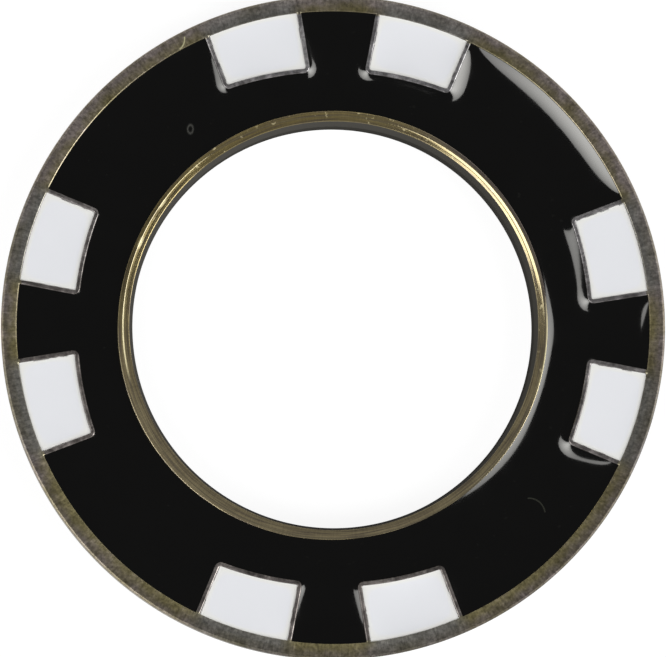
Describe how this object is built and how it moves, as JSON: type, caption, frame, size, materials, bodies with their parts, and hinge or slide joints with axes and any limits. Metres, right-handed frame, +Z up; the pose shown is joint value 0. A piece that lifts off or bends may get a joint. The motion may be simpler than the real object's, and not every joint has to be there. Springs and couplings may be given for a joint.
{
  "type": "poker chip",
  "caption": "Ring-shaped poker chip: a struck brass ring with a round through hole, both faces filled with glossy black enamel and paired white edge spots.",
  "frame": {"origin": "middle of the underside, on the plane that the chip lies on", "axes": "+Z up out of the face that the picture shows, along the hole; +X to the picture's right and +Y to its top, each through the middle of a pair of white spots"},
  "size_m": [0.04, 0.04, 0.003],
  "materials": {
    "antique_brass": "satin, tarnished to a dull olive on the flat rims and bright on the rounded edges",
    "black_enamel": "glossy baked enamel with a hollow surface that climbs its cell walls",
    "white_enamel": "glossy baked enamel with a slightly cool white"
  },
  "bodies": {
    "root": {"metal_ring": "antique_brass", "front_black_enamel": "black_enamel", "front_white_spot_1": "white_enamel", "front_white_spot_2": "white_enamel", "front_white_spot_3": "white_enamel", "front_white_spot_4": "white_enamel", "front_white_spot_5": "white_enamel", "front_white_spot_6": "white_enamel", "front_white_spot_7": "white_enamel", "front_white_spot_8": "white_enamel", "back_black_enamel": "black_enamel", "back_white_spot_1": "white_enamel", "back_white_spot_2": "white_enamel", "back_white_spot_3": "white_enamel", "back_white_spot_4": "white_enamel", "back_white_spot_5": "white_enamel", "back_white_spot_6": "white_enamel", "back_white_spot_7": "white_enamel", "back_white_spot_8": "white_enamel"}
  },
  "joints": []
}
